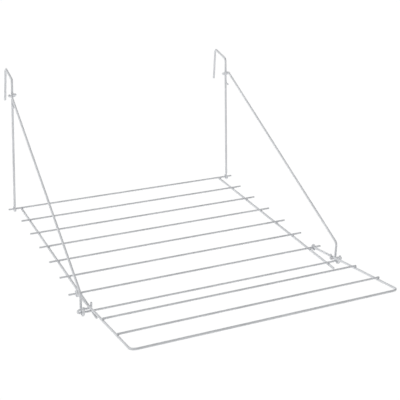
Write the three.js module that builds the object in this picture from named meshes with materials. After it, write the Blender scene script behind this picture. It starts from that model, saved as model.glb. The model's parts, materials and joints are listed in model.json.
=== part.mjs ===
// Hook-on fold-down airer of coated steel wire, in millimetres.
// +X runs to the right along the bars, +Y towards the rail it hangs on, +Z up.
// The origin is midway between the two hooks, in the middle of the hook gap, on the seat that rests on the rail.
// The panel is level and locked out, and the flap rests on the keeper loops.
import * as THREE from 'three';

// Wire diameters.
const barWire = 4;
const railWire = 5;
const uprightWire = 5;
const flapWire = 4.5;
const stayWire = 4.5;
const pegWire = 4;

// Main panel: two side rails with eight cross bars on top of them.
const railSpacing = 500;
const barPitch = 72;
const mainBarCount = 8;
const railRearOverrun = 6;
const railFrontOverrun = 20;
const plainStub = 20;
const flapPivotStub = 24.5;
const longStub = 31;
const flapPivotBar = 6;

// Keeper loops: the ends of the front bar are bent up and back, with a short upturned tip.
const keeperRadius = 3.2;
const keeperTipRadius = 3;
const keeperTipHeight = 18;

// Uprights with their rail hooks. They lean in towards each other, and each bridge rises a little to the back.
const uprightOffset = 16.9;
const uprightLean = 2.3;
const legLength = 300;
const hookDepth = 55;
const hookRise = 11;
const hookTipLength = 76;
const hookSplay = 8;
const hookCorner = 6;
const eyeNeckRadius = 4;
const eyeSweep = 284;

// Stays: a hook under the front bar at the foot, a ring round the upright at the head.
const stayFootOffset = 20.5;
const stayRiser = 36;
const stayKneeRadius = 10;
const stayHookRadius = 8.2;
const stayHookTip = 15;
const stayRingRadius = 7.3;
const stayRingSweep = 300;
const stayRingNeck = 4;
const stayRingHeight = 265;
const stayRingSlack = 1;
const pegHeight = 241;
const pegLength = 10.5;

// Flap: one bent frame wire and two cross bars.
const flapSpacing = 516.5;
const flapReach = 291;
const flapCorner = 11;
const flapBarReaches = [153.5, 229.5];

// Fits.
const weldGap = 0.3;
const eyeClearance = 0.5;
const restGap = 0.3;
const keeperSideGap = 0.55;

// Facets.
const wireSides = 12;
const degreesPerStep = 15;

const axisX = new THREE.Vector3(1, 0, 0);
const axisY = new THREE.Vector3(0, 1, 0);
const axisZ = new THREE.Vector3(0, 0, 1);
const radians = THREE.MathUtils.degToRad;

// Positions that follow from the sizes above.
const hingeY = -hookDepth / 2;
const bridgeUnderside = uprightWire / 2 / Math.cos(Math.atan2(hookRise, hookDepth));
const hingeZ = -(legLength + hookRise / 2 - bridgeUnderside) * Math.cos(radians(uprightLean));
const frontBarY = hingeY - barPitch * (mainBarCount - 1);
const flapPivotY = hingeY - barPitch * flapPivotBar;
const uprightX = railSpacing / 2 + uprightOffset;
const railZ = hingeZ - barWire / 2 - weldGap - railWire / 2;

// The centreline of a bent wire: straight runs and circular bends, one vertex where each starts and ends.
class WirePath extends THREE.Curve {
  constructor(start, direction) {
    super();
    this.vertices = [start.clone()];
    this.tangents = [direction.clone().normalize()];
  }

  get end() {
    return this.vertices[this.vertices.length - 1];
  }

  get heading() {
    return this.tangents[this.tangents.length - 1];
  }

  straight(length) {
    const heading = this.heading.clone();
    this.vertices.push(this.end.clone().addScaledVector(heading, length));
    this.tangents.push(heading);
    return this;
  }

  // Turns the heading about an axis by an angle in degrees, along an arc of the given centreline radius.
  bend(radius, degrees, axis) {
    const spin = axis.clone().normalize();
    const toCentre = spin.clone().cross(this.heading).multiplyScalar(radius);
    const centre = this.end.clone().add(toCentre);
    const spoke = toCentre.clone().negate();
    const heading = this.heading.clone();
    const count = Math.max(2, Math.ceil(degrees / degreesPerStep));
    for (let i = 1; i <= count; i += 1) {
      const turned = radians((degrees * i) / count);
      this.vertices.push(spoke.clone().applyAxisAngle(spin, turned).add(centre));
      this.tangents.push(heading.clone().applyAxisAngle(spin, turned));
    }
    return this;
  }

  // Runs on to a corner and leaves it in a new direction, with the corner rounded.
  corner(point, direction, radius) {
    const leaving = direction.clone().normalize();
    const angle = this.heading.angleTo(leaving);
    const setback = radius * Math.tan(angle / 2);
    const spin = this.heading.clone().cross(leaving);
    this.straight(this.end.distanceTo(point) - setback);
    return this.bend(radius, THREE.MathUtils.radToDeg(angle), spin);
  }

  // Closes the wire into an eye centred on its own line: a neck bend, then a ring the other way.
  eye(radius, axis) {
    const neck = Math.acos(eyeNeckRadius / (eyeNeckRadius + radius));
    this.bend(eyeNeckRadius, THREE.MathUtils.radToDeg(neck), axis);
    return this.bend(radius, eyeSweep, axis.clone().negate());
  }

  // The same wire with its mirror image in the plane X = 0 joined on at the start.
  mirrored() {
    const flip = new THREE.Vector3(-1, 1, 1);
    const back = this.vertices.slice(1).reverse();
    const backTangents = this.tangents.slice(1).reverse();
    const whole = new WirePath(back[0].clone().multiply(flip), axisX);
    whole.vertices = [...back.map((v) => v.clone().multiply(flip)), ...this.vertices.slice(1)];
    whole.tangents = [
      ...backTangents.map((t) => t.clone().multiply(flip).negate()),
      ...this.tangents.slice(1),
    ];
    return whole;
  }

  getUtoTmapping(u) {
    return u;
  }

  getPoint(t, target = new THREE.Vector3()) {
    const place = t * (this.vertices.length - 1);
    const i = Math.min(Math.floor(place + 1e-9), this.vertices.length - 2);
    return target.lerpVectors(this.vertices[i], this.vertices[i + 1], place - i);
  }

  getTangent(t, target = new THREE.Vector3()) {
    const place = t * (this.vertices.length - 1);
    const i = Math.min(Math.floor(place + 1e-9), this.vertices.length - 2);
    return target.lerpVectors(this.tangents[i], this.tangents[i + 1], place - i).normalize();
  }
}

// How far before an eye's centre its neck bend starts.
function eyeSetback(radius) {
  return Math.sqrt(radius * radius + 2 * eyeNeckRadius * radius);
}

function wireGeometry(path, diameter) {
  const section = new THREE.Shape().absarc(0, 0, diameter / 2, 0, 2 * Math.PI, false);
  return new THREE.ExtrudeGeometry(section, {
    extrudePath: path,
    steps: path.vertices.length - 1,
    curveSegments: wireSides / 2,
    bevelEnabled: false,
  });
}

const coating = { color: 0xe9ebec, roughness: 0.42, metalness: 0 };
const airer = new THREE.Group();
airer.name = 'fold_down_airer';

function addPiece(name, geometry) {
  const mesh = new THREE.Mesh(geometry, new THREE.MeshStandardMaterial(coating));
  mesh.name = name;
  airer.add(mesh);
}

function straightWire(from, to, diameter) {
  const run = to.clone().sub(from);
  return wireGeometry(new WirePath(from, run).straight(run.length()), diameter);
}

// Main side rails, under the bars.
function mainRail(side) {
  const x = (side * railSpacing) / 2;
  const rear = new THREE.Vector3(x, hingeY + railRearOverrun, railZ);
  const front = new THREE.Vector3(x, frontBarY - railFrontOverrun, railZ);
  return straightWire(rear, front, railWire);
}

// Straight cross bars, with stubs that stand out past the rails.
function mainBar(index, stub) {
  const y = hingeY - barPitch * index;
  const reach = railSpacing / 2 + stub;
  const left = new THREE.Vector3(-reach, y, hingeZ);
  const right = new THREE.Vector3(reach, y, hingeZ);
  return straightWire(left, right, barWire);
}

// Front cross bar, with a keeper loop bent at each end.
function keeperBar() {
  const outerEnd = railSpacing / 2 + longStub;
  const bendX = outerEnd - barWire / 2 - keeperRadius;
  const flapInnerFace = flapSpacing / 2 - flapWire / 2;
  const tipX = flapInnerFace - keeperSideGap - barWire / 2;
  const tipRise = keeperTipHeight - 2 * keeperRadius - keeperTipRadius;
  const half = new WirePath(new THREE.Vector3(0, frontBarY, hingeZ), axisX)
    .straight(bendX)
    .bend(keeperRadius, 180, axisY.clone().negate())
    .straight(bendX - tipX - keeperTipRadius)
    .bend(keeperTipRadius, 90, axisY)
    .straight(tipRise);
  return wireGeometry(half.mirrored(), barWire);
}

// Upright: hook tip, back leg, bridge over the rail, long front leg, eye round the rear bar's stub.
// It is drawn standing straight on the fold axis, then leant inwards.
function upright(side) {
  const eyeRadius = barWire / 2 + eyeClearance + uprightWire / 2;
  const backTop = new THREE.Vector3(0, hookDepth, legLength + hookRise);
  const frontTop = new THREE.Vector3(0, 0, legLength);
  const downTip = axisZ.clone().negate().applyAxisAngle(axisX, radians(hookSplay));
  const tip = backTop.clone().addScaledVector(downTip, hookTipLength);
  const path = new WirePath(tip, downTip.clone().negate())
    .corner(backTop, frontTop.clone().sub(backTop), hookCorner)
    .corner(frontTop, axisZ.clone().negate(), hookCorner);
  path.straight(path.end.z - eyeSetback(eyeRadius));
  path.eye(eyeRadius, axisX);
  const geometry = wireGeometry(path, uprightWire);
  geometry.rotateY(-side * radians(uprightLean));
  geometry.translate(side * uprightX, hingeY, hingeZ);
  return geometry;
}

// A point on an upright's centreline, at a height above the fold axis.
function uprightPoint(side, height) {
  const inward = height * Math.tan(radians(uprightLean));
  return new THREE.Vector3(side * (uprightX - inward), hingeY, hingeZ + height);
}

// Rest peg, standing out of the front of the upright below the stay's ring.
function restPeg(side) {
  const root = uprightPoint(side, pegHeight);
  root.y -= uprightWire / 2 + weldGap;
  const tip = root.clone().addScaledVector(axisY, -pegLength);
  return straightWire(root, tip, pegWire);
}

// How far the stay turns against the upright as the panel folds, from the two places of its ring.
function stayTurn() {
  const across = barPitch * (mainBarCount - 1) - stayRingSlack;
  return 90 - THREE.MathUtils.radToDeg(Math.atan2(stayRingHeight, across));
}

// Stay: hook tip, turn under the front bar's stub, riser, knee, long run, ring round the upright.
function stay(side) {
  const footX = side * (railSpacing / 2 + stayFootOffset);
  const hookBottom = barWire / 2 + restGap + stayWire / 2;
  const hookCentreZ = hingeZ - hookBottom + stayHookRadius;
  const riserY = frontBarY + stayHookRadius;
  const tilt = radians(stayTurn() / 2);
  const ringNormal = new THREE.Vector3(0, Math.sin(tilt), Math.cos(tilt));
  const ringFront = new THREE.Vector3(0, -Math.cos(tilt), Math.sin(tilt));
  const ringCentre = uprightPoint(side, stayRingHeight).addScaledVector(axisY, -stayRingSlack);
  const inward = axisX.clone().multiplyScalar(-side);
  const ringStart = ringCentre.clone().addScaledVector(ringFront, stayRingRadius);
  const neckCorner = ringStart.clone().addScaledVector(inward, -stayRingNeck);
  const knee = new THREE.Vector3(footX, riserY, hingeZ + stayRiser);
  const run = neckCorner.clone().sub(knee);
  const path = new WirePath(
    new THREE.Vector3(footX, frontBarY - stayHookRadius, hingeZ + stayHookTip),
    axisZ.clone().negate(),
  );
  path.straight(path.end.z - hookCentreZ);
  path.bend(stayHookRadius, 180, axisX);
  path.corner(knee, run, stayKneeRadius);
  path.corner(neckCorner, inward, stayRingNeck);
  path.bend(stayRingRadius, stayRingSweep, ringNormal.clone().multiplyScalar(-side));
  return wireGeometry(path, stayWire);
}

// The flap is drawn level about its pivot, then raised until it rests on the keeper loops.
function placeFlapPiece(geometry) {
  const keeperTop = 2 * keeperRadius + barWire / 2;
  const lift = keeperTop + restGap + flapWire / 2;
  const reach = barPitch * (mainBarCount - 1 - flapPivotBar);
  geometry.rotateX(-Math.atan2(lift, reach));
  geometry.translate(0, flapPivotY, hingeZ);
  return geometry;
}

function flapFrame() {
  const eyeRadius = barWire / 2 + eyeClearance + flapWire / 2;
  const x = flapSpacing / 2;
  const half = new WirePath(new THREE.Vector3(0, -flapReach, 0), axisX)
    .corner(new THREE.Vector3(x, -flapReach, 0), axisY, flapCorner);
  half.straight(-half.end.y - eyeSetback(eyeRadius));
  half.eye(eyeRadius, axisX);
  return placeFlapPiece(wireGeometry(half.mirrored(), flapWire));
}

function flapBar(reach) {
  const end = flapSpacing / 2 + flapWire / 2;
  const z = flapWire / 2 + weldGap + barWire / 2;
  const left = new THREE.Vector3(-end, -reach, z);
  const right = new THREE.Vector3(end, -reach, z);
  return placeFlapPiece(straightWire(left, right, barWire));
}

const sides = [['left', -1], ['right', 1]];
for (const [label, side] of sides) {
  addPiece(`upright_${label}`, upright(side));
  addPiece(`rest_peg_${label}`, restPeg(side));
  addPiece(`main_rail_${label}`, mainRail(side));
  addPiece(`stay_${label}`, stay(side));
}
for (let index = 0; index < mainBarCount - 1; index += 1) {
  let stub = plainStub;
  if (index === 0) {
    stub = longStub;
  }
  if (index === flapPivotBar) {
    stub = flapPivotStub;
  }
  addPiece(`main_bar_${index}`, mainBar(index, stub));
}
addPiece(`main_bar_${mainBarCount - 1}`, keeperBar());
addPiece('flap_frame', flapFrame());
flapBarReaches.forEach((reach, index) => {
  addPiece(`flap_bar_${index}`, flapBar(reach));
});

export default airer;
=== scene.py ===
"""Looks for a hook-on fold-down airer of white coated steel wire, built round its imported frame."""

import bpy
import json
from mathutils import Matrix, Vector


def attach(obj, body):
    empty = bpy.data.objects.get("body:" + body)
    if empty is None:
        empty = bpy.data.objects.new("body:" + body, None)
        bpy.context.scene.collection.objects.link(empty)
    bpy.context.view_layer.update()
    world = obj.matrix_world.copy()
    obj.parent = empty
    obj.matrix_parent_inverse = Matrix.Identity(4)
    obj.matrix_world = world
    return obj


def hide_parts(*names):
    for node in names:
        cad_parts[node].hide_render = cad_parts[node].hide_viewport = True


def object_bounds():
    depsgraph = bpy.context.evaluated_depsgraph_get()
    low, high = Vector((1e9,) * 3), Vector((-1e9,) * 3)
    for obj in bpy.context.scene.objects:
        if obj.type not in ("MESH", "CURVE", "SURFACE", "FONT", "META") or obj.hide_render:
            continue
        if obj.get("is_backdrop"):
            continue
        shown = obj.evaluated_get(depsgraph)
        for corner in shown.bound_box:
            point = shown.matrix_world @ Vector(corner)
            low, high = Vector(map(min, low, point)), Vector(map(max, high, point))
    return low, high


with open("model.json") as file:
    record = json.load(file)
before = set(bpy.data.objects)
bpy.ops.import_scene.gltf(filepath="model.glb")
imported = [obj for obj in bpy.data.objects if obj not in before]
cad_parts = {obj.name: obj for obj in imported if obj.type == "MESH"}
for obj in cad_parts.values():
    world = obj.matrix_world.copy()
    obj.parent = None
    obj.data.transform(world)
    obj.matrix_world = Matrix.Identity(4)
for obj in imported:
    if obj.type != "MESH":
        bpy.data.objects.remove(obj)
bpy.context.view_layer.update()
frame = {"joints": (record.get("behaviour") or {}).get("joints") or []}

import json
import logging
import math
from dataclasses import dataclass, field
from enum import Enum

import bmesh
import bpy
from mathutils import Matrix, Vector

LOG = logging.getLogger("airer")
MM = 0.001
SEAM_MM = 0.001
QUARTER_TURN = 90.0
HALF_TURN = 180.0
AXIS_X = Vector((1.0, 0.0, 0.0))
AXIS_Y = Vector((0.0, 1.0, 0.0))
AXIS_Z = Vector((0.0, 0.0, 1.0))


class Side(Enum):
    """The two mirror-image halves of the airer."""

    LEFT = -1
    RIGHT = 1

    @property
    def label(self) -> str:
        """The word that node names end in."""
        return self.name.lower()


def linear(hex_colour: str) -> tuple[float, float, float, float]:
    """Turns an sRGB hex colour into linear RGBA.

    Args:
        hex_colour: Six hex digits with a leading hash.

    Returns:
        Red, green, blue and alpha, each from 0 to 1.
    """
    values = [int(hex_colour[i : i + 2], 16) / 255 for i in (1, 3, 5)]
    red, green, blue = (
        v / 12.92 if v <= 0.04045 else ((v + 0.055) / 1.055) ** 2.4 for v in values
    )
    return (red, green, blue, 1.0)


def add_node(
    tree: bpy.types.NodeTree,
    kind: str,
    settings: dict | None = None,
    links: dict | None = None,
) -> bpy.types.Node:
    """Adds a node with its settings and incoming links.

    Args:
        tree: Node tree to add to.
        kind: Node type name.
        settings: Values by socket name, or by attribute name for what isn't a socket.
        links: Output sockets by the name of the input they feed.

    Returns:
        The new node.
    """
    node = tree.nodes.new(kind)
    for name, value in (settings or {}).items():
        if name in node.inputs:
            node.inputs[name].default_value = value
        else:
            setattr(node, name, value)
    for name, output in (links or {}).items():
        tree.links.new(output, node.inputs[name])
    return node


@dataclass(frozen=True)
class PowderCoat:
    """White polyester powder coat baked on drawn steel wire.

    The powder melts into a closed satin film with a fine orange peel, a little thinner and
    duller where racks and hands have rubbed it.
    """

    name: str = "white satin powder coat"
    body_hex: str = "#E0E2E5"
    rubbed_hex: str = "#D5D7DA"
    # The peel's grain and depth are chosen so that it shows in close views.
    peel_mm: float = 1.8
    peel_depth_mm: float = 0.05
    peel_strength: float = 0.35
    peel_detail: float = 2.0
    peel_roughness: float = 0.5
    drift_mm: float = 45.0
    drift_detail: float = 3.0
    drift_roughness: float = 0.55
    rubbed_below: float = 0.32
    whole_above: float = 0.6
    roughness_low: float = 0.34
    roughness_high: float = 0.46
    film_ior: float = 1.5

    def material(self) -> bpy.types.Material:
        """Builds the coat's material.

        Returns:
            A material on Object coordinates.
        """
        made = bpy.data.materials.new(self.name)
        made.use_nodes = True
        tree = made.node_tree
        shader = tree.nodes["Principled BSDF"]
        place = add_node(tree, "ShaderNodeTexCoord").outputs["Object"]
        drift = add_node(
            tree,
            "ShaderNodeTexNoise",
            {
                "Scale": 1 / (self.drift_mm * MM),
                "Detail": self.drift_detail,
                "Roughness": self.drift_roughness,
            },
            {"Vector": place},
        ).outputs["Fac"]
        tint = add_node(tree, "ShaderNodeValToRGB", links={"Fac": drift})
        tint.color_ramp.elements[0].position = self.rubbed_below
        tint.color_ramp.elements[0].color = linear(self.rubbed_hex)
        tint.color_ramp.elements[1].position = self.whole_above
        tint.color_ramp.elements[1].color = linear(self.body_hex)
        gloss = add_node(
            tree,
            "ShaderNodeMapRange",
            {"To Min": self.roughness_low, "To Max": self.roughness_high},
            {"Value": drift},
        ).outputs["Result"]
        peel = add_node(
            tree,
            "ShaderNodeTexNoise",
            {
                "Scale": 1 / (self.peel_mm * MM),
                "Detail": self.peel_detail,
                "Roughness": self.peel_roughness,
            },
            {"Vector": place},
        ).outputs["Fac"]
        bump = add_node(
            tree,
            "ShaderNodeBump",
            {"Strength": self.peel_strength, "Distance": self.peel_depth_mm * MM},
            {"Height": peel},
        ).outputs["Normal"]
        shader.inputs["IOR"].default_value = self.film_ior
        tree.links.new(tint.outputs["Color"], shader.inputs["Base Color"])
        tree.links.new(gloss, shader.inputs["Roughness"])
        tree.links.new(bump, shader.inputs["Normal"])
        return made


class WireBender:
    """Draws one round wire in a bmesh, as a bench bender forms it: straight runs and bends."""

    SIDES = 24
    DEGREES_PER_STEP = 6.0
    FEWEST_STEPS = 3
    END_ROUNDING = 0.42
    END_STEPS = 3

    def __init__(self, start: Vector, heading: Vector, diameter: float) -> None:
        """Starts the wire with its first rim.

        Args:
            start: Centre of the first cut end, in millimetres.
            heading: Direction in which the wire leaves that end.
            diameter: Wire diameter, in millimetres.
        """
        self.mesh = bmesh.new()
        self.radius = diameter / 2
        self.place = start.copy()
        self.heading = heading.normalized()
        turn = self.heading.to_track_quat("Z", "Y").to_matrix().to_4x4()
        bmesh.ops.create_circle(
            self.mesh,
            cap_ends=False,
            radius=self.radius,
            segments=self.SIDES,
            matrix=Matrix.Translation(start) @ turn,
        )
        self.rim: list[bmesh.types.BMEdge] = list(self.mesh.edges)

    def straight(self, length: float) -> "WireBender":
        """Runs on in the same direction.

        Args:
            length: Length of the run, in millimetres.

        Returns:
            The same wire.
        """
        grown = bmesh.ops.extrude_edge_only(self.mesh, edges=self.rim)["geom"]
        verts = [g for g in grown if isinstance(g, bmesh.types.BMVert)]
        new = set(verts)
        bmesh.ops.translate(self.mesh, vec=self.heading * length, verts=verts)
        edges = [g for g in grown if isinstance(g, bmesh.types.BMEdge)]
        self.rim = [e for e in edges if e.verts[0] in new and e.verts[1] in new]
        self.place = self.place + self.heading * length
        return self

    def bend(self, radius: float, degrees: float, axis: Vector) -> "WireBender":
        """Turns the wire by the right-hand rule about an axis.

        Args:
            radius: Centreline radius of the bend, in millimetres.
            degrees: Angle of the bend.
            axis: Direction of the bend's axis.

        Returns:
            The same wire.
        """
        spin = axis.normalized()
        centre = self.place + spin.cross(self.heading) * radius
        steps = max(self.FEWEST_STEPS, math.ceil(degrees / self.DEGREES_PER_STEP))
        verts = {v for e in self.rim for v in e.verts}
        last = bmesh.ops.spin(
            self.mesh,
            geom=[*verts, *self.rim],
            cent=centre,
            axis=spin,
            angle=math.radians(degrees),
            steps=steps,
            use_merge=False,
            use_duplicate=False,
        )["geom_last"]
        self.rim = [g for g in last if isinstance(g, bmesh.types.BMEdge)]
        turn = Matrix.Rotation(math.radians(degrees), 3, spin)
        self.place = centre + turn @ (self.place - centre)
        self.heading = turn @ self.heading
        return self

    def corner(self, point: Vector, direction: Vector, radius: float) -> "WireBender":
        """Runs on to a corner and leaves it in a new direction, with the corner rounded.

        Args:
            point: Where the two centrelines would meet, in millimetres.
            direction: Direction of the next run.
            radius: Centreline radius of the bend, in millimetres.

        Returns:
            The same wire.
        """
        leaving = direction.normalized()
        angle = self.heading.angle(leaving)
        setback = radius * math.tan(angle / 2)
        self.straight((point - self.place).length - setback)
        return self.bend(radius, math.degrees(angle), self.heading.cross(leaving))

    def eye(self, neck: float, ring: float, sweep: float, axis: Vector) -> "WireBender":
        """Closes the wire into an eye centred on its own line.

        Args:
            neck: Centreline radius of the neck bend, in millimetres.
            ring: Centreline radius of the ring, in millimetres.
            sweep: Angle of the ring, in degrees.
            axis: Axis of the neck bend; the ring turns the other way.

        Returns:
            The same wire.
        """
        self.bend(neck, math.degrees(math.acos(neck / (neck + ring))), axis)
        return self.bend(ring, sweep, -axis)

    @staticmethod
    def eye_setback(neck: float, ring: float) -> float:
        """How far before the eye's centre its neck bend starts, in millimetres."""
        return math.sqrt(ring * ring + 2 * neck * ring)

    def cut(self) -> bmesh.types.BMesh:
        """Closes both ends with the soft rim that a coated cut end has.

        Returns:
            The finished mesh, in millimetres.
        """
        rims = [e for e in self.mesh.edges if e.is_boundary]
        bmesh.ops.holes_fill(self.mesh, edges=rims, sides=0)
        bmesh.ops.bevel(
            self.mesh,
            geom=rims,
            offset=self.radius * self.END_ROUNDING,
            segments=self.END_STEPS,
            profile=0.5,
            affect="EDGES",
            material=-1,
        )
        bmesh.ops.recalc_face_normals(self.mesh, faces=self.mesh.faces)
        return self.mesh


def mirror_half(half: bmesh.types.BMesh) -> bmesh.types.BMesh:
    """Joins a wire that starts on the plane X = 0 to its own mirror image.

    Args:
        half: Mesh of the right half, open at X = 0.

    Returns:
        The same mesh, now whole and closed.
    """
    whole = [*half.verts, *half.edges, *half.faces]
    bmesh.ops.mirror(half, geom=whole, axis="X", merge_dist=SEAM_MM)
    bmesh.ops.remove_doubles(half, verts=half.verts, dist=SEAM_MM)
    return half


def make_piece(
    name: str,
    mesh: bmesh.types.BMesh,
    body: str,
    finish: bpy.types.Material,
    nodes: tuple[str, ...] = (),
) -> bpy.types.Object:
    """Turns a mesh in millimetres into a dressed object that rides on a body.

    Args:
        name: Object name.
        mesh: Mesh in the row frame, in millimetres. It is freed.
        body: Rigid body that the piece moves with.
        finish: Material of the whole piece.
        nodes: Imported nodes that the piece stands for.

    Returns:
        The new object.
    """
    bmesh.ops.scale(mesh, vec=(MM, MM, MM), verts=mesh.verts)
    for face in mesh.faces:
        face.smooth = True
    data = bpy.data.meshes.new(name)
    mesh.to_mesh(data)
    mesh.free()
    piece = bpy.data.objects.new(name, data)
    bpy.context.scene.collection.objects.link(piece)
    data.materials.append(finish)
    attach(piece, body)
    if nodes:
        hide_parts(*nodes)
    LOG.info("%s rides on %s, %d faces", name, body, len(data.polygons))
    return piece


def joint_place(name: str) -> Vector:
    """The rest position of a joint's pivot, in millimetres."""
    joint = next(j for j in frame["joints"] if j["name"] == name)
    return Vector(joint["pos_m"]) / MM


@dataclass(frozen=True)
class Weld:
    """The nugget where two crossing wires are resistance welded, rounded over by the coat."""

    across: float = 2.7
    height: float = 1.25
    rings: int = 8
    segments: int = 14

    def add(self, mesh: bmesh.types.BMesh, place: Vector, turn: Matrix | None = None) -> None:
        """Adds one nugget.

        Args:
            mesh: Mesh to add to, in millimetres.
            place: Centre of the nugget.
            turn: Rotation that carries +Z onto the line between the two wires.
        """
        size = Matrix.Diagonal((self.across, self.across, self.height, 1.0))
        spin = turn.to_4x4() if turn else Matrix.Identity(4)
        bmesh.ops.create_uvsphere(
            mesh,
            u_segments=self.segments,
            v_segments=self.rings,
            radius=1.0,
            matrix=Matrix.Translation(place) @ spin @ size,
        )


def straight_wire(start: Vector, end: Vector, diameter: float) -> bmesh.types.BMesh:
    """A straight wire cut at both ends, in millimetres."""
    run = end - start
    return WireBender(start, run, diameter).straight(run.length).cut()


@dataclass
class HangingFrame:
    """The two uprights that hook over the rail, with the pegs below the stay rings."""

    finish: bpy.types.Material
    wire: float = 5.0
    peg_wire: float = 4.0
    half_spacing: float = 266.9
    lean: float = 2.3
    leg: float = 300.0
    hook_depth: float = 55.0
    hook_rise: float = 11.0
    tip_length: float = 76.0
    tip_splay: float = 8.0
    hook_corner: float = 6.0
    eye_neck: float = 4.0
    eye_ring: float = 5.0
    eye_sweep: float = 284.0
    peg_height: float = 241.0
    peg_length: float = 10.5
    peg_weld_across: float = 2.5
    peg_weld_height: float = 1.1
    weld_gap: float = 0.3
    fold_axis: Vector = field(default_factory=lambda: joint_place("panel_fold"))

    def point(self, side: Side, height: float) -> Vector:
        """A point on an upright's centreline.

        Args:
            side: Which upright.
            height: Height above the fold axis, in millimetres.

        Returns:
            The point, in millimetres.
        """
        inward = height * math.tan(math.radians(self.lean))
        outward = side.value * (self.half_spacing - inward)
        return self.fold_axis + Vector((outward, 0.0, height))

    def upright(self, side: Side) -> None:
        """Forms one upright: hook tip, back leg, bridge, long leg and eye.

        Args:
            side: Which upright.
        """
        back_top = Vector((0.0, self.hook_depth, self.leg + self.hook_rise))
        front_top = Vector((0.0, 0.0, self.leg))
        up_tip = Matrix.Rotation(math.radians(self.tip_splay), 3, "X") @ AXIS_Z
        wire = WireBender(back_top - up_tip * self.tip_length, up_tip, self.wire)
        wire.corner(back_top, front_top - back_top, self.hook_corner)
        wire.corner(front_top, -AXIS_Z, self.hook_corner)
        wire.straight(wire.place.z - WireBender.eye_setback(self.eye_neck, self.eye_ring))
        wire.eye(self.eye_neck, self.eye_ring, self.eye_sweep, AXIS_X)
        mesh = wire.cut()
        leant = Matrix.Rotation(-side.value * math.radians(self.lean), 4, "Y")
        move = Matrix.Translation(self.point(side, 0.0))
        bmesh.ops.transform(mesh, matrix=move @ leant, verts=mesh.verts)
        node = f"upright_{side.label}"
        make_piece(f"wire_{node}", mesh, "hanging_frame", self.finish, (node,))

    def rest_peg(self, side: Side) -> None:
        """Forms the peg on the front of one upright, with its weld.

        Args:
            side: Which upright.
        """
        root = self.point(side, self.peg_height)
        root.y -= self.wire / 2 + self.weld_gap
        mesh = straight_wire(root, root - AXIS_Y * self.peg_length, self.peg_wire)
        node = f"rest_peg_{side.label}"
        make_piece(f"wire_{node}", mesh, "hanging_frame", self.finish, (node,))
        bead = bmesh.new()
        nugget = Weld(across=self.peg_weld_across, height=self.peg_weld_height)
        nugget.add(bead, root, Matrix.Rotation(math.radians(QUARTER_TURN), 3, "X"))
        make_piece(f"weld_{node}", bead, "hanging_frame", self.finish)

    def build(self) -> None:
        """Builds both uprights and both pegs."""
        for side in Side:
            self.upright(side)
            self.rest_peg(side)


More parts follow.
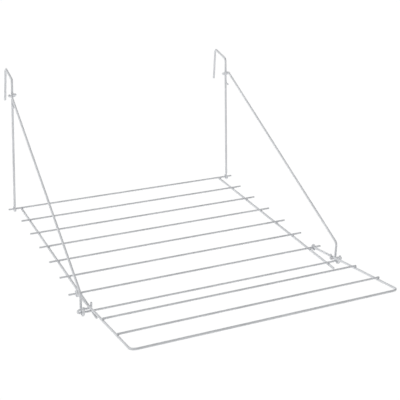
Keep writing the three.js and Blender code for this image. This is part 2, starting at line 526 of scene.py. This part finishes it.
@dataclass
class Panel:
    """The main panel: two side rails under eight cross bars."""

    finish: bpy.types.Material
    bar_wire: float = 4.0
    rail_wire: float = 5.0
    rail_spacing: float = 500.0
    bar_pitch: float = 72.0
    bar_count: int = 8
    rear_overrun: float = 6.0
    front_overrun: float = 20.0
    plain_stub: float = 20.0
    flap_pivot_stub: float = 24.5
    long_stub: float = 31.0
    flap_pivot_bar: int = 6
    keeper_radius: float = 3.2
    keeper_tip_radius: float = 3.0
    keeper_tip_height: float = 18.0
    keeper_tip_offset: float = 253.45
    weld_gap: float = 0.3
    fold_axis: Vector = field(default_factory=lambda: joint_place("panel_fold"))

    @property
    def rail_drop(self) -> float:
        """How far the rails' centrelines lie below the bars'."""
        return self.bar_wire / 2 + self.weld_gap + self.rail_wire / 2

    def bar_y(self, index: int) -> float:
        """Where a bar lies along the panel."""
        return self.fold_axis.y - self.bar_pitch * index

    def rail(self, side: Side) -> None:
        """Cuts one side rail.

        Args:
            side: Which rail.
        """
        x = side.value * self.rail_spacing / 2
        z = self.fold_axis.z - self.rail_drop
        rear = Vector((x, self.fold_axis.y + self.rear_overrun, z))
        front = Vector((x, self.bar_y(self.bar_count - 1) - self.front_overrun, z))
        node = f"main_rail_{side.label}"
        mesh = straight_wire(rear, front, self.rail_wire)
        make_piece(f"wire_{node}", mesh, "panel", self.finish, (node,))

    def stub(self, index: int) -> float:
        """How far a straight bar stands out past the rail's centreline.

        Args:
            index: Number of the bar, from 0 at the fold axis.

        Returns:
            Length of the stub, in millimetres.
        """
        if index == 0:
            return self.long_stub
        return self.flap_pivot_stub if index == self.flap_pivot_bar else self.plain_stub

    def bar(self, index: int) -> None:
        """Cuts one straight cross bar.

        Args:
            index: Number of the bar, from 0 at the fold axis.
        """
        reach = Vector((self.rail_spacing / 2 + self.stub(index), 0.0, 0.0))
        middle = Vector((0.0, self.bar_y(index), self.fold_axis.z))
        node = f"main_bar_{index}"
        mesh = straight_wire(middle - reach, middle + reach, self.bar_wire)
        make_piece(f"wire_{node}", mesh, "panel", self.finish, (node,))

    def keeper_bar(self) -> None:
        """Forms the front bar, whose ends are bent back over themselves as keeper loops."""
        index = self.bar_count - 1
        bend_x = self.rail_spacing / 2 + self.long_stub - self.bar_wire / 2 - self.keeper_radius
        start = Vector((0.0, self.bar_y(index), self.fold_axis.z))
        rise = self.keeper_tip_height - 2 * self.keeper_radius - self.keeper_tip_radius
        half = WireBender(start, AXIS_X, self.bar_wire)
        half.straight(bend_x)
        half.bend(self.keeper_radius, HALF_TURN, -AXIS_Y)
        half.straight(bend_x - self.keeper_tip_offset - self.keeper_tip_radius)
        half.bend(self.keeper_tip_radius, QUARTER_TURN, AXIS_Y)
        half.straight(rise)
        mirror_half(half.mesh)
        node = f"main_bar_{index}"
        make_piece(f"wire_{node}", half.cut(), "panel", self.finish, (node,))

    def welds(self) -> None:
        """Adds the nugget at every crossing of a bar and a rail."""
        mesh = bmesh.new()
        z = self.fold_axis.z - self.bar_wire / 2 - self.weld_gap / 2
        for side in Side:
            for index in range(self.bar_count):
                x = side.value * self.rail_spacing / 2
                Weld().add(mesh, Vector((x, self.bar_y(index), z)))
        make_piece("welds_main_panel", mesh, "panel", self.finish)

    def build(self) -> None:
        """Builds the rails, the bars and their welds."""
        for side in Side:
            self.rail(side)
        for index in range(self.bar_count - 1):
            self.bar(index)
        self.keeper_bar()
        self.welds()


@dataclass
class Flap:
    """The front flap: one bent frame wire and two cross bars, hinged on the main panel's bar."""

    finish: bpy.types.Material
    wire: float = 4.5
    bar_wire: float = 4.0
    side_spacing: float = 516.5
    reach: float = 291.0
    corner: float = 11.0
    bar_reaches: tuple[float, ...] = (153.5, 229.5)
    eye_neck: float = 4.0
    eye_ring: float = 4.75
    eye_sweep: float = 284.0
    rest_lift: float = 10.95
    rest_reach: float = 72.0
    weld_gap: float = 0.3
    pivot: Vector = field(default_factory=lambda: joint_place("flap_fold"))

    def place(self, mesh: bmesh.types.BMesh) -> bmesh.types.BMesh:
        """Raises a piece, drawn level about the pivot, until the flap rests on the keepers.

        Args:
            mesh: Mesh drawn about the origin, in millimetres.

        Returns:
            The same mesh, in its place.
        """
        tilt = Matrix.Rotation(-math.atan2(self.rest_lift, self.rest_reach), 4, "X")
        bmesh.ops.transform(mesh, matrix=Matrix.Translation(self.pivot) @ tilt, verts=mesh.verts)
        return mesh

    def frame_wire(self) -> None:
        """Forms the frame: eye, side, rounded corner, front bar, and the same back again."""
        x = self.side_spacing / 2
        half = WireBender(Vector((0.0, -self.reach, 0.0)), AXIS_X, self.wire)
        half.corner(Vector((x, -self.reach, 0.0)), AXIS_Y, self.corner)
        half.straight(-half.place.y - WireBender.eye_setback(self.eye_neck, self.eye_ring))
        half.eye(self.eye_neck, self.eye_ring, self.eye_sweep, AXIS_X)
        mirror_half(half.mesh)
        make_piece("wire_flap_frame", self.place(half.cut()), "flap", self.finish, ("flap_frame",))

    def bars(self) -> None:
        """Cuts the cross bars, flush with the frame's sides."""
        end = self.side_spacing / 2 + self.wire / 2
        z = self.wire / 2 + self.weld_gap + self.bar_wire / 2
        for index, reach in enumerate(self.bar_reaches):
            mesh = straight_wire(Vector((-end, -reach, z)), Vector((end, -reach, z)), self.bar_wire)
            node = f"flap_bar_{index}"
            make_piece(f"wire_{node}", self.place(mesh), "flap", self.finish, (node,))

    def welds(self) -> None:
        """Adds the nugget at every crossing of a bar and the frame."""
        mesh = bmesh.new()
        z = self.wire / 2 + self.weld_gap / 2
        for side in Side:
            for reach in self.bar_reaches:
                Weld().add(mesh, Vector((side.value * self.side_spacing / 2, -reach, z)))
        make_piece("welds_flap", self.place(mesh), "flap", self.finish)

    def build(self) -> None:
        """Builds the frame wire, the bars and their welds."""
        self.frame_wire()
        self.bars()
        self.welds()


@dataclass
class Stay:
    """One stay: a hook under the front bar, a riser, a long run and a ring round the upright."""

    finish: bpy.types.Material
    side: Side
    hanging: HangingFrame
    wire: float = 4.5
    hook_radius: float = 8.2
    hook_bottom: float = 4.55
    hook_tip: float = 15.0
    riser: float = 36.0
    knee_radius: float = 10.0
    ring_radius: float = 7.3
    ring_sweep: float = 300.0
    ring_neck: float = 4.0
    ring_height: float = 265.0
    ring_slack: float = 1.0

    def turn(self) -> float:
        """How far the stay turns against the upright as the panel folds.

        Returns:
            The turn, in radians.
        """
        foot = joint_place(f"stay_{self.side.label}_swing")
        across = self.hanging.fold_axis.y - foot.y - self.ring_slack
        return math.pi / 2 - math.atan2(self.ring_height, across)

    def build(self) -> None:
        """Forms the stay, with its ring tilted half way between its two end positions."""
        foot = joint_place(f"stay_{self.side.label}_swing")
        tilt = self.turn() / 2
        normal = Vector((0.0, math.sin(tilt), math.cos(tilt)))
        front = Vector((0.0, -math.cos(tilt), math.sin(tilt)))
        inward = AXIS_X * -self.side.value
        centre = self.hanging.point(self.side, self.ring_height) - AXIS_Y * self.ring_slack
        neck = centre + front * self.ring_radius - inward * self.ring_neck
        knee = foot + Vector((0.0, self.hook_radius, self.riser))
        tip = foot + Vector((0.0, -self.hook_radius, self.hook_tip))
        wire = WireBender(tip, -AXIS_Z, self.wire)
        wire.straight(wire.place.z - (foot.z - self.hook_bottom + self.hook_radius))
        wire.bend(self.hook_radius, HALF_TURN, AXIS_X)
        wire.corner(knee, neck - knee, self.knee_radius)
        wire.corner(neck, inward, self.ring_neck)
        wire.bend(self.ring_radius, self.ring_sweep, normal * -self.side.value)
        node = f"stay_{self.side.label}"
        make_piece(f"wire_{node}", wire.cut(), node, self.finish, (node,))


@dataclass(frozen=True)
class LitTable:
    """Matt white table top, lit a little from within, so that it stays white without a shadow."""

    name: str = "matt white lit table"
    face_hex: str = "#F2F2F2"
    glow_hex: str = "#FFFFFF"
    glow_strength: float = 0.42
    roughness: float = 0.9
    specular: float = 0.1

    def material(self) -> bpy.types.Material:
        """Builds the table's material.

        Returns:
            A plain matt material with a weak glow.
        """
        paint = bpy.data.materials.new(self.name)
        paint.use_nodes = True
        shader = paint.node_tree.nodes["Principled BSDF"]
        shader.inputs["Base Color"].default_value = linear(self.face_hex)
        shader.inputs["Roughness"].default_value = self.roughness
        shader.inputs["Specular IOR Level"].default_value = self.specular
        shader.inputs["Emission Color"].default_value = linear(self.glow_hex)
        shader.inputs["Emission Strength"].default_value = self.glow_strength
        return paint


@dataclass
class Studio:
    """A pale floor, soft light and the camera."""

    sky_hex: str = "#FFFFFF"
    horizon_strength: float = 1.0
    zenith_strength: float = 0.22
    fade_from: float = 0.2
    fade_to: float = 0.3
    floor_drop: float = 1.1
    floor_size: float = 60.0
    key_strength: float = 1.5
    key_spread: float = 30.0
    key_pitch: float = -20.0
    key_tilt: float = -25.0
    azimuth: float = -25.17
    elevation: float = 23.01
    roll: float = 1.17
    distance: float = 1926.5
    aim: Vector = field(
        default_factory=lambda: joint_place("panel_fold") + Vector((62.2, -284.8, 80.9))
    )
    lens: float = 82.14
    sensor: float = 36.0
    nearest: float = 0.05
    farthest: float = 200.0

    def floor(self) -> None:
        """Lays the floor below the hanging airer."""
        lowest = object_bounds()[0].z
        mesh = bmesh.new()
        bmesh.ops.create_grid(mesh, x_segments=1, y_segments=1, size=self.floor_size / 2)
        bmesh.ops.translate(mesh, vec=(0.0, 0.0, lowest - self.floor_drop), verts=mesh.verts)
        data = bpy.data.meshes.new("studio_floor")
        mesh.to_mesh(data)
        mesh.free()
        floor = bpy.data.objects.new("studio_floor", data)
        bpy.context.scene.collection.objects.link(floor)
        data.materials.append(LitTable().material())
        floor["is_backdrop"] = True

    def lights(self) -> None:
        """Sets a sky that is white at the horizon and dimmer above, and one soft sun."""
        world = bpy.data.worlds.new("soft white studio")
        bpy.context.scene.world = world
        world.use_nodes = True
        tree = world.node_tree
        sky = tree.nodes["Background"]
        sky.inputs["Color"].default_value = linear(self.sky_hex)
        heading = add_node(tree, "ShaderNodeTexCoord").outputs["Generated"]
        rise = add_node(tree, "ShaderNodeSeparateXYZ", links={"Vector": heading}).outputs["Z"]
        fade = add_node(
            tree,
            "ShaderNodeMapRange",
            {
                "From Min": self.fade_from,
                "From Max": self.fade_to,
                "To Min": self.horizon_strength,
                "To Max": self.zenith_strength,
            },
            {"Value": rise},
        )
        tree.links.new(fade.outputs["Result"], sky.inputs["Strength"])
        sun = bpy.data.lights.new("soft_key", "SUN")
        sun.energy = self.key_strength
        sun.angle = math.radians(self.key_spread)
        lamp = bpy.data.objects.new("soft_key", sun)
        lamp.rotation_euler = (math.radians(self.key_pitch), math.radians(self.key_tilt), 0.0)
        bpy.context.scene.collection.objects.link(lamp)

    def camera(self) -> None:
        """Places the camera by its angles round the aim point."""
        azimuth, elevation = math.radians(self.azimuth), math.radians(self.elevation)
        back = Vector(
            (
                math.sin(azimuth) * math.cos(elevation),
                -math.cos(azimuth) * math.cos(elevation),
                math.sin(elevation),
            )
        )
        data = bpy.data.cameras.new("studio_camera")
        data.lens = self.lens
        data.sensor_width = self.sensor
        data.clip_start, data.clip_end = self.nearest, self.farthest
        camera = bpy.data.objects.new("studio_camera", data)
        camera.location = (self.aim + back * self.distance) * MM
        level = back.to_track_quat("Z", "Y").to_matrix()
        turned = level @ Matrix.Rotation(math.radians(self.roll), 3, "Z")
        camera.rotation_mode = "QUATERNION"
        camera.rotation_quaternion = turned.to_quaternion()
        bpy.context.scene.collection.objects.link(camera)
        bpy.context.scene.camera = camera

    def build(self) -> None:
        """Builds the floor, the lights and the camera."""
        bpy.context.scene.view_settings.view_transform = "Standard"
        self.floor()
        self.lights()
        self.camera()


def main() -> None:
    """Builds every piece of the airer, then the studio."""
    logging.basicConfig(level=logging.INFO, format="%(name)s: %(message)s")
    coat = PowderCoat().material()
    hanging = HangingFrame(coat)
    hanging.build()
    Panel(coat).build()
    Flap(coat).build()
    for side in Side:
        Stay(coat, side, hanging).build()
    Studio().build()


if __name__ == "__main__":
    main()
